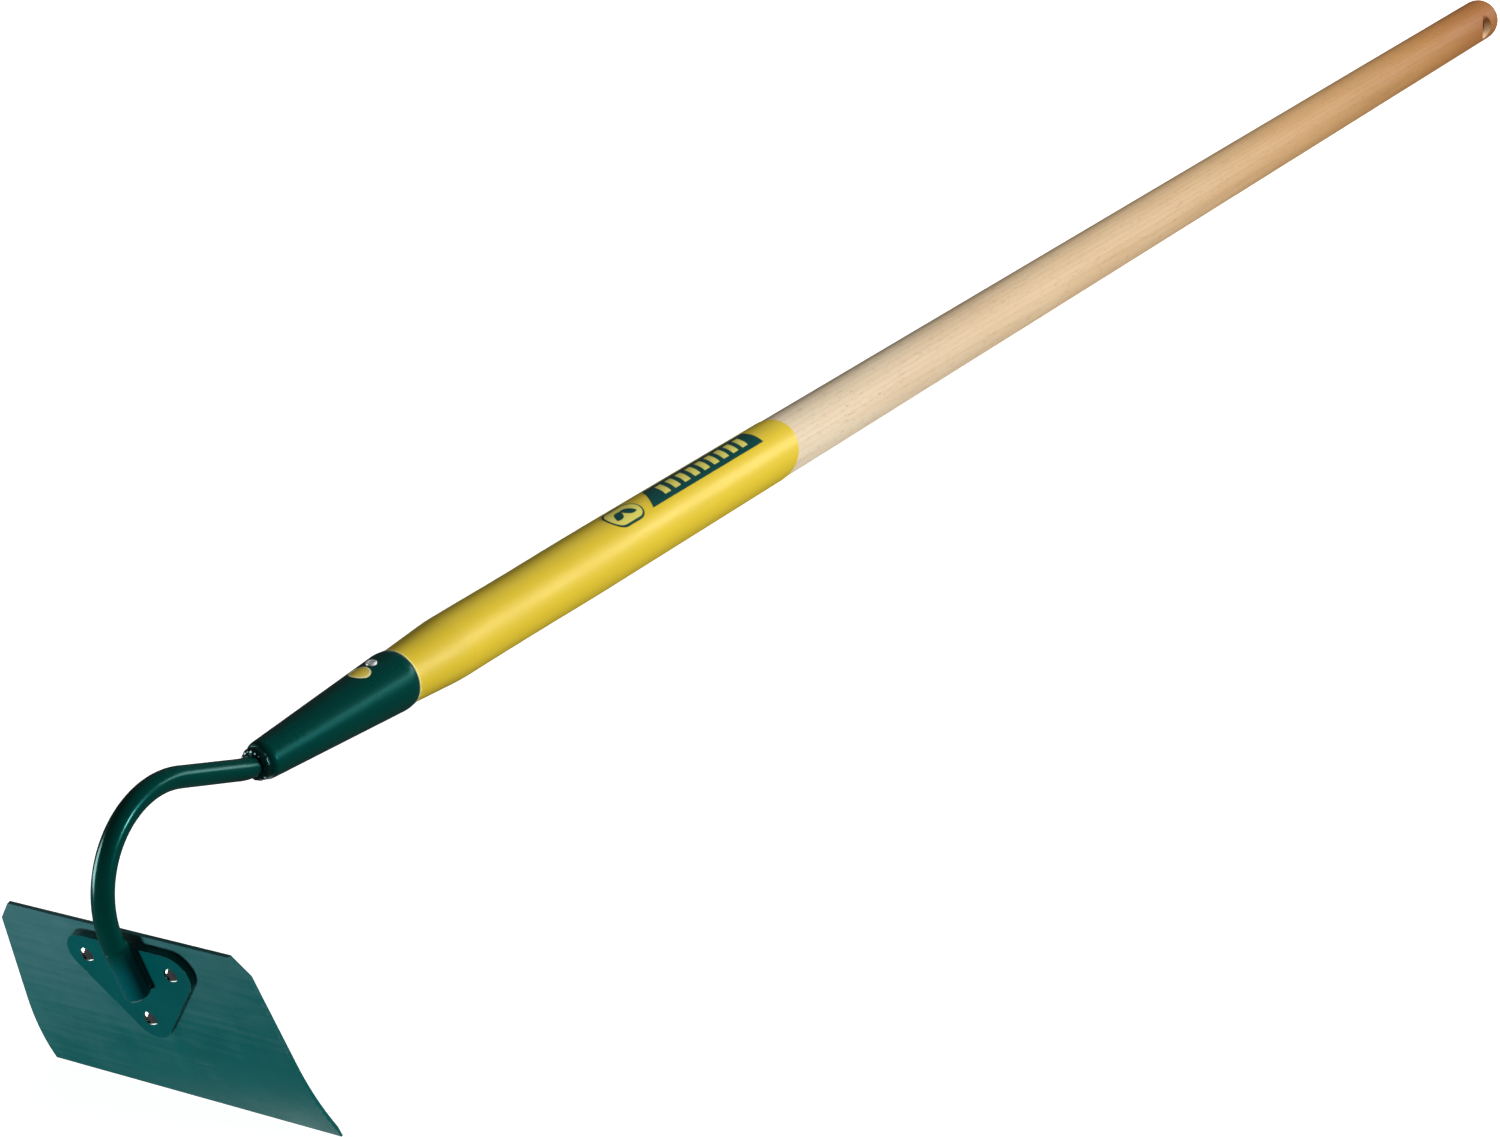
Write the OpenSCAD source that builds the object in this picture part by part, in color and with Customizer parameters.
// Long-handled draw hoe: a curved steel blade riveted to a plate on a swan neck,
// with a tapered steel socket driven onto a turned wooden handle.
// The hoe lies as it is put down, on its cutting edge and the end of its handle.

/* [Handle] */
// Length of the wooden handle, its driven end included
handle_len = 1300; // [900:10:1600]
// Diameter of the straight part of the handle
handle_d = 28; // [24:0.5:32]
// How far the wood is driven into the socket
insert_depth = 69.5; // [50:0.5:72]
// Radius of the rounding at the far end
end_round = 8.5; // [4:0.5:12]
// Diameter of the hanging hole
hang_hole_d = 9; // [6:0.5:11]
// Diameter of the countersink on each side of the hanging hole
hang_sink_d = 16; // [12:0.5:16]
// Distance from the hanging hole to the far end
hang_hole_from_end = 29; // [20:1:60]

/* [Sleeve and labels] */
// Distance from the socket mouth to the middle of the sleeve's cut edge
sleeve_len = 278.5; // [200:0.5:400]
// Slant of the sleeve's cut edge
sleeve_slant = 24; // [0:1:35]
// Thickness of the sleeve film
sleeve_t = 0.25; // [0.2:0.05:1]
// Thickness of a label or sticker
label_t = 0.15; // [0.1:0.05:0.4]

/* [Socket] */
// Length of the socket
socket_len = 82.5; // [80:0.5:120]
// Outer diameter of the socket at its small end
socket_small_d = 14.8; // [13:0.2:18]
// Outer diameter of the socket where the lip begins
socket_big_d = 25; // [22:0.2:28]
// Thickness of the socket's sheet steel
socket_t = 1.3; // [1:0.1:2]
// Length of the turned-in lip at the mouth
lip_len = 4.5; // [3:0.5:8]

/* [Neck] */
// Diameter of the neck's round bar
rod_d = 8.5; // [7:0.25:11]
// Angle at which the neck rises behind the socket
neck_rise = 19; // [5:1:30]
// Length of the straight bar between the two bends
neck_run = 31; // [20:1:60]
// Radius of the large bend, at the bar's middle
neck_bend_r = 37; // [25:1:60]
// Roll of the neck about the handle's axis
neck_roll = 4; // [-6:1:6]

/* [Blade] */
// Width of the cutting edge
blade_w = 140; // [120:1:200]
// Width across the shoulders, below the cut corners
shoulder_w = 119; // [100:1:160]
// Width of the top edge, between the cut corners
top_w = 106; // [90:1:150]
// Height of the cut corners
corner_h = 8; // [4:1:15]
// Height of the flat upper part of the blade
flat_h = 48; // [48:1:60]
// Height of the curved lower part, measured along the sheet
curl_h = 36.5; // [20:0.5:50]
// Radius of the lower part's curve, at the sheet's middle
curl_r = 145; // [100:5:400]
// Thickness of the blade
blade_t = 1.6; // [1.5:0.1:3]
// Lean of the flat part from square to the handle
blade_lean = 13.5; // [0:0.5:25]
// Sideways offset of the blade from the plate's middle
blade_shift = 3.5; // [-6:0.5:6]

/* [Plate and rivets] */
// Thickness of the mounting plate
plate_t = 3; // [2:0.5:5]
// Corner radius of the mounting plate, about each rivet
plate_r = 9; // [7:0.5:10]
// Distance between the two upper rivets
rivet_span = 40; // [30:1:50]
// Distance from the blade's top edge to the upper rivets
upper_rivet_y = 13; // [12:0.5:16]
// Distance from the blade's top edge to the lower rivet
lower_rivet_y = 38.5; // [36:0.5:39]
// Diameter of a rivet's shank
rivet_d = 3.2; // [3:0.1:4]
// Diameter of a rivet's head
rivet_head_d = 6; // [5:0.5:8]

/* [Hidden] */

$fn = 96;
EPS = 0.01;                     // overlap that joins two shapes of one piece
GREEN = [0.0, 0.27, 0.25];
YELLOW = [0.91, 0.78, 0.22];

// Handle, measured from the socket mouth along the handle
handle_r = handle_d / 2;
handle_end = handle_len - insert_depth;
hang_hole_x = handle_end - hang_hole_from_end;
wood_start = 0.2;               // where the wood's shoulder begins
taper_end = 31;                 // where the wood's taper, a match for the socket's, runs out
taper_soft = 0.12;              // how softly it runs out
waist_r = handle_r - 0.48;      // radius of the slightly thinner wood that follows
waist_end = 65;                 // where that wood begins to thicken
full_start = 140;               // where the wood has its full size
sleeve_slant_side = 125;        // angle round the handle where the sleeve is longest

// Socket
small_r = socket_small_d / 2;
big_r = socket_big_d / 2;
socket_slope = (big_r - small_r) / (socket_len - lip_len - 4);
lip_arc_r = 16;
lip_round = 0.6;
end_corner_r = 3.5;
cavity_end = socket_len - 3;

// Screw and sticker on the socket
screw_x = -11.9;
screw_head_d = 4.7;
screw_head_h = 0.95;
screw_d = 3;
screw_len = 13;
badge_x = -20.5;
badge_angle = 92;
badge_d = 9;

// Labels on the sleeve: places along the handle and round it from the left side
label_r = handle_r + sleeve_t;
panel_x = [172.5, 262.5];
panel_slant = 9;
panel_w = 12;
panel_angle = 101;
disc_x = 156.5;
disc_angle = 105;
disc_len = 23;
disc_w = 13;

// Neck: u runs along the handle and w rises from it, in the neck's own plane
rod_r = rod_d / 2;
run_r = rod_r - 0.03;           // straight bar, drawn a hair thinner than the bends
run_lap = 0.5;                  // how far a straight run enters a bend
tang_x = -cavity_end + 8;
kink_r = 30;
kink_x = -(socket_len + 0.5);
kink_end = [kink_x - kink_r * sin(neck_rise), kink_r * (1 - cos(neck_rise))];
run_end = kink_end + neck_run * [-cos(neck_rise), sin(neck_rise)];
bend_centre = run_end - neck_bend_r * [sin(neck_rise), cos(neck_rise)];
neck_lean = atan(cos(neck_roll) * tan(blade_lean));
foot_top = bend_centre - neck_bend_r * [cos(neck_lean), sin(neck_lean)];
foot_len = 23.5;
foot_round = 1.2;
foot_r = rod_r + 0.7;           // the pressed foot is a little wider than the bar
foot_back = 0.66;               // how far its middle lies behind the bar's middle
foot_press = [0, 2];            // where the pressed part starts and has its full shape

// Blade: x across, y down the sheet, z out of its front face, from the middle of the top edge
blade_top_drop = 0.5;
curl_angle = curl_h / curl_r * 180 / PI;
rod_to_blade = rod_r + plate_t + blade_t / 2;
blade_top = [foot_top[0] + rod_to_blade * cos(blade_lean) + blade_top_drop * sin(blade_lean),
             cos(neck_roll) * foot_top[1] + rod_to_blade * sin(blade_lean)
             - blade_top_drop * cos(blade_lean)];
curl_drop = flat_h + curl_r * sin(curl_angle);
side_slope = (blade_w - shoulder_w) / 2 / (curl_drop - corner_h);
bevel_len = 4;
bevel_t = 0.8;

// Rivets, in the blade's own axes
rivet_places = [[rivet_span / 2, upper_rivet_y], [-rivet_span / 2, upper_rivet_y], [0, lower_rivet_y]];
rivet_r = rivet_d / 2;
rivet_head_r = rivet_head_d / 2;
rivet_head_h = 1.55;
rivet_tail_r = 2.4;
rivet_tail_h = 2.6;
mandrel_r = 0.95;
mandrel_head_r = 1.5;
plate_face = blade_t / 2 + plate_t;

// How the hoe lies: the front corner of the cutting edge and the end rounding touch the ground
edge_lean = blade_lean + curl_angle;
edge_mid = blade_top
    + flat_h * [sin(blade_lean), -cos(blade_lean)]
    + curl_r * [cos(blade_lean) - cos(edge_lean), sin(blade_lean) - sin(edge_lean)];
edge_low = edge_mid - blade_t / 2 * [cos(edge_lean), sin(edge_lean)];
end_run = handle_end - end_round - edge_low[0];
end_rise = -edge_low[1] - (handle_r - end_round);
lie_angle = atan(end_rise / end_run) - asin(end_round / norm([end_run, end_rise]));
lift = edge_low[0] * sin(lie_angle) - edge_low[1] * cos(lie_angle);
x_max = (handle_end - end_round) * cos(lie_angle)
    + (handle_r - end_round) * sin(lie_angle) + end_round;
x_min = bend_centre[0] * cos(lie_angle)
    + bend_centre[1] * sin(lie_angle) - neck_bend_r - rod_r;

// Points along an arc about c, from angle a0 to a1
function arc(c, r, a0, a1, n = 12) =
    [for (i = [0:n]) c + r * [cos(a0 + (a1 - a0) * i / n), sin(a0 + (a1 - a0) * i / n)]];

// A smooth step from 0 to 1 as t goes from 0 to 1
function ease(t) = (1 - cos(180 * min(max(t, 0), 1))) / 2;

// Radius of the wood at a distance from the socket mouth
function wood_r(x) =
    waist_r - taper_soft * ln(1 + exp(socket_slope * (taper_end - x) / taper_soft))
    + (handle_r - waist_r) * ease((x - waist_end) / (full_start - waist_end));

// Outer radius of the socket's cone
function cone_r(x) = big_r + socket_slope * (x + lip_len);

// Outer radius of the turned-in lip
function lip_r(x) = cone_r(x) - lip_arc_r + sqrt(pow(lip_arc_r, 2) - pow(x + lip_len, 2));

// Moves a piece from the handle's axes to the ground
module lay() {
    translate([-(x_min + x_max) / 2, -blade_shift, lift]) rotate([0, lie_angle, 0]) children();
}

// Turns a profile about the handle's axis; its y becomes the distance along the handle
module turned() {
    rotate([0, 90, 0]) rotate_extrude() children();
}

// Places a piece on the blade: x across, y down the sheet, z out of its front face
module on_blade() {
    translate([blade_top[0], 0, blade_top[1]]) rotate([0, -blade_lean, 0]) rotate([-90, 0, 90])
        children();
}

// Places a piece at a distance along the handle and an angle round it, facing outwards
module round_handle(x, angle) {
    translate([x, 0, 0]) rotate([angle - 90, 0, 0]) children();
}

// The wood's outline as it swells outside the socket, grown by a skin
function swell(skin) = concat(
    [for (x = [wood_start, 16, 23, 27, 31, 35, 41, waist_end, 80, 95, 110, 125]) [wood_r(x) + skin, x]],
    [[handle_r + skin, full_start]]);

module handle_profile() {
    polygon(concat(
        [[0, -insert_depth],
         [cone_r(-insert_depth) - socket_t, -insert_depth],
         [cone_r(-lip_len) - socket_t, -lip_len],
         [lip_r(0) - socket_t, 0]],
        swell(0),
        arc([handle_r - end_round, handle_end - end_round], end_round, 0, 90),
        [[0, handle_end]]));
}

module hang_hole() {
    sink_depth = (hang_sink_d - hang_hole_d) / 2;
    translate([hang_hole_x, 0, 0]) rotate([90, 0, 0]) {
        cylinder(h = 2 * handle_d, d = hang_hole_d, center = true);
        for (side = [0, 1]) mirror([0, 0, side])
            translate([0, 0, handle_r - sink_depth])
                cylinder(h = sink_depth + 1, d1 = hang_hole_d, d2 = hang_sink_d + 2);
    }
}

module handle() {
    color("burlywood") lay() difference() {
        turned() handle_profile();
        hang_hole();
        screw_shape();
    }
}

module handle_sleeve() {
    blank_end = sleeve_len + handle_d;
    skin = concat(swell(sleeve_t), [[handle_r + sleeve_t, blank_end], [handle_r, blank_end]]);
    wood = swell(0);
    color(YELLOW) lay() difference() {
        turned() polygon(concat(skin, [for (i = [len(wood) - 1:-1:0]) wood[i]]));
        round_handle(sleeve_len, sleeve_slant_side) rotate([0, sleeve_slant, 0])
            translate([0, -handle_d, -handle_d]) cube(2 * handle_d);
    }
}

// A thin label on the sleeve, cut to the outline of its children
module sleeve_label(x, angle) {
    intersection() {
        turned() translate([label_r, 0]) square([label_t, sleeve_len]);
        round_handle(x, angle) linear_extrude(height = 2 * handle_r) children();
    }
}

module label_panel() {
    color(GREEN) lay() sleeve_label(0, panel_angle)
        polygon([[panel_x[0] + panel_slant, panel_w / 2], [panel_x[1], panel_w / 2],
                 [panel_x[1], -panel_w / 2], [panel_x[0], -panel_w / 2]]);
}

module label_disc() {
    half_run = (disc_len - disc_w) / 2;
    color(GREEN) lay() sleeve_label(disc_x, disc_angle)
        polygon(concat(arc([half_run, 0], disc_w / 2, -90, 90),
                       arc([-half_run, 0], disc_w / 2, 90, 270)));
}

module socket_profile() {
    outer = concat(
        [[rod_r, -socket_len]],
        arc([small_r - end_corner_r + 0.4, -socket_len + end_corner_r], end_corner_r, -90, -8, 8),
        [for (i = [0:5]) lip_point(-lip_len + i * (lip_len - lip_round) / 5)],
        [[lip_r(0) - lip_round, 0]]);
    inner = [
        [lip_r(0) - socket_t, 0],
        [cone_r(-lip_len) - socket_t, -lip_len],
        [cone_r(-cavity_end) - socket_t, -cavity_end],
        [rod_r, -cavity_end]];
    polygon(concat(outer, inner));
}

function lip_point(x) = [lip_r(x), x];

module socket() {
    color(GREEN) lay() difference() {
        turned() socket_profile();
        screw_shape();
    }
}

// The round sticker lies on the socket's cone
module socket_badge() {
    color(YELLOW) lay() intersection() {
        turned() polygon([
            [cone_r(badge_x - 10), badge_x - 10],
            [cone_r(badge_x - 10) + label_t, badge_x - 10],
            [cone_r(badge_x + 10) + label_t, badge_x + 10],
            [cone_r(badge_x + 10), badge_x + 10]]);
        round_handle(badge_x, badge_angle) cylinder(h = 2 * handle_r, d = badge_d);
    }
}

// The fixing screw, with its point towards the handle's axis
module screw_shape() {
    head_z = cone_r(screw_x) - 0.25;
    translate([screw_x, 0, 0]) rotate([0, -3, 0]) {
        translate([0, 0, head_z - screw_len]) cylinder(h = screw_len + EPS, d = screw_d);
        translate([0, 0, head_z]) rotate_extrude() polygon(concat(
            [[0, 0], [screw_head_d / 2, 0], [screw_head_d / 2, screw_head_h * 0.35]],
            arc([screw_head_d / 2 - screw_head_h * 0.65, screw_head_h * 0.35],
                screw_head_h * 0.65, 0, 90, 6),
            [[0, screw_head_h]]));
    }
}

module socket_screw() {
    slot_w = 0.8;
    slot_len = 2.8;
    slot_depth = 0.6;
    color("silver") lay() difference() {
        screw_shape();
        translate([screw_x, 0, cone_r(screw_x) - 0.25 + screw_head_h]) rotate([0, -3, 0])
            for (turn = [25, 115]) rotate([0, 0, turn])
                cube([slot_len, slot_w, 2 * slot_depth], center = true);
    }
}

// A bent piece of bar about c, in the neck's plane, from angle a0 over a sweep
module bar_bend(c, r, a0, sweep) {
    translate([c[0], 0, c[1]]) rotate([90, 0, 0]) rotate([0, 0, a0])
        rotate_extrude(angle = sweep) translate([r, 0]) circle(r = rod_r);
}

// A straight piece of bar in the neck's plane, which enters a bend at its end and,
// if it starts at one, at its start
module bar_run(from, to, lap = run_lap) {
    step = to - from;
    translate([from[0], 0, from[1]]) rotate([0, atan2(step[0], step[1]), 0])
        translate([0, 0, -lap]) cylinder(h = norm(step) + lap + run_lap, r = run_r);
}

// Puts the foot of the neck upright: z runs down the foot
module at_foot() {
    rotate([-neck_roll, 0, 0]) translate([foot_top[0], 0, foot_top[1]])
        rotate([0, 180 - neck_lean, 0]) children();
}

module neck_shape() {
    rotate([-neck_roll, 0, 0]) {
        bar_run([tang_x, 0], [kink_x, 0], 0);
        bar_bend([kink_x, kink_r], kink_r, 270 - neck_rise, neck_rise);
        bar_run(kink_end, run_end);
        bar_bend(bend_centre, neck_bend_r, 90 - neck_rise, 90 + neck_rise + neck_lean);
    }
    foot_shape();
}

// The neck's foot, pressed a little wider than the bar and lying flush on the plate
module foot_shape() {
    at_foot() translate([0, 0, -run_lap]) cylinder(h = run_lap + foot_press[1] + 0.3, r = run_r);
    difference() {
        at_foot() translate([-foot_back, 0, 0]) rotate_extrude() polygon(concat(
            [[0, foot_press[0]], [foot_r - 2 * foot_back, foot_press[0]], [foot_r, foot_press[1]]],
            arc([foot_r - foot_round, foot_len - foot_round], foot_round, 0, 90),
            [[0, foot_len]]));
        plate_side();
    }
}

// All that lies behind the plate's front face
module plate_side() {
    on_blade() translate([-40, -5, plate_face - 20]) cube([80, 90, 20]);
}

module neck() {
    color(GREEN) lay() neck_shape();
}

// The ring of weld where the bar enters the socket
module neck_weld() {
    bead_r = 2.1;
    color(GREEN) lay() difference() {
        translate([-socket_len - 0.6, 0, 0]) rotate([0, 90, 0])
            rotate_extrude() translate([rod_r + 0.5, 0]) circle(r = bead_r);
        neck_shape();
        turned() socket_profile();
        translate([-socket_len, 0, 0]) rotate([0, 90, 0]) cylinder(h = 10, r = small_r);
    }
}

// A bead of weld beside the foot of the neck, on the plate
module plate_weld(side) {
    bead_r = 1.3;
    bead_len = 15;
    color(GREEN) lay() difference() {
        at_foot() translate([-rod_r + 0.5, side * (foot_r - 0.9), 5]) {
            cylinder(h = bead_len, r = bead_r);
            sphere(r = bead_r);
            translate([0, 0, bead_len]) sphere(r = bead_r);
        }
        neck_shape();
        plate_side();
    }
}

module plate_weld_left() {
    plate_weld(1);
}

module plate_weld_right() {
    plate_weld(-1);
}

module rivet_holes() {
    for (place = rivet_places) translate([place[0], place[1], 0])
        cylinder(h = 30, r = rivet_r, center = true);
}

// A triangle with its corners rounded about the rivets
module plate_outline() {
    side = atan2(lower_rivet_y - upper_rivet_y, rivet_span / 2);
    polygon(concat(
        arc(rivet_places[0], plate_r, -90, 90 - side, 14),
        arc(rivet_places[2], plate_r, 90 - side, 90 + side, 14),
        arc(rivet_places[1], plate_r, 90 + side, 270, 14)));
}

module mounting_plate() {
    color(GREEN) lay() on_blade() difference() {
        translate([0, 0, blade_t / 2]) linear_extrude(height = plate_t) plate_outline();
        rivet_holes();
    }
}

module blade_sheet() {
    span = blade_w + 20;
    translate([-span / 2, 0, -blade_t / 2]) cube([span, flat_h, blade_t]);
    translate([0, flat_h, -curl_r]) rotate([0, -90, 0]) rotate_extrude(angle = curl_angle, $fn = 360)
        translate([curl_r - blade_t / 2, -span / 2]) square([blade_t, span]);
}

module blade_outline() {
    reach = curl_drop + 10;
    reach_w = shoulder_w / 2 + side_slope * (reach - corner_h);
    polygon([[-top_w / 2, 0], [top_w / 2, 0], [shoulder_w / 2, corner_h], [reach_w, reach],
             [-reach_w, reach], [-shoulder_w / 2, corner_h]]);
}

// Cuts the cutting edge thinner on its back
module edge_bevel() {
    span = blade_w + 40;
    translate([0, flat_h, -curl_r]) rotate([-curl_angle, 0, 0]) translate([0, 0, curl_r])
        translate([-span / 2, -bevel_len, -blade_t / 2])
            rotate([atan((blade_t - bevel_t) / bevel_len), 0, 0])
                translate([0, 0, -5]) cube([span, bevel_len + 3, 5]);
}

module blade() {
    color(GREEN) lay() on_blade() difference() {
        intersection() {
            blade_sheet();
            translate([blade_shift, 0, -40]) linear_extrude(height = 60) blade_outline();
        }
        edge_bevel();
        rivet_holes();
    }
}

// A blind rivet: domed head on the plate, set tail behind the blade
module rivet(i) {
    dome_r = (pow(rivet_head_r, 2) + pow(rivet_head_h, 2)) / (2 * rivet_head_h);
    dome_edge = asin(rivet_head_r / dome_r);
    dome_hole = asin(mandrel_r / dome_r);
    color("silver") lay() on_blade() translate([rivet_places[i][0], rivet_places[i][1], 0])
        rotate_extrude() polygon(concat(
            [[mandrel_r, -blade_t / 2 - rivet_tail_h],
             [rivet_tail_r - 0.7, -blade_t / 2 - rivet_tail_h],
             [rivet_tail_r, -blade_t / 2 - rivet_tail_h + 0.9],
             [rivet_tail_r - 0.15, -blade_t / 2 - 0.4],
             [rivet_tail_r - 0.5, -blade_t / 2],
             [rivet_r, -blade_t / 2],
             [rivet_r, plate_face]],
            arc([0, plate_face + rivet_head_h - dome_r], dome_r, 90 - dome_edge, 90 - dome_hole, 8),
            [[mandrel_r, plate_face]]));
}

// The mandrel left inside a set rivet
module mandrel(i) {
    tail_z = -blade_t / 2 - rivet_tail_h;
    stub_top = plate_face + 0.5;
    color("dimgray") lay() on_blade() translate([rivet_places[i][0], rivet_places[i][1], 0])
        rotate_extrude() polygon([
            [0, tail_z - 1.5], [mandrel_head_r * 0.7, tail_z - 1.5],
            [mandrel_head_r, tail_z - 0.8], [mandrel_head_r, tail_z],
            [mandrel_r, tail_z], [mandrel_r, stub_top - 0.2], [0.5, stub_top], [0, stub_top]]);
}

module rivet_left() { rivet(0); }
module rivet_right() { rivet(1); }
module rivet_lower() { rivet(2); }
module mandrel_left() { mandrel(0); }
module mandrel_right() { mandrel(1); }
module mandrel_lower() { mandrel(2); }

handle();
handle_sleeve();
label_panel();
label_disc();
socket();
socket_badge();
socket_screw();
neck();
neck_weld();
plate_weld_left();
plate_weld_right();
mounting_plate();
blade();
rivet_left();
rivet_right();
rivet_lower();
mandrel_left();
mandrel_right();
mandrel_lower();
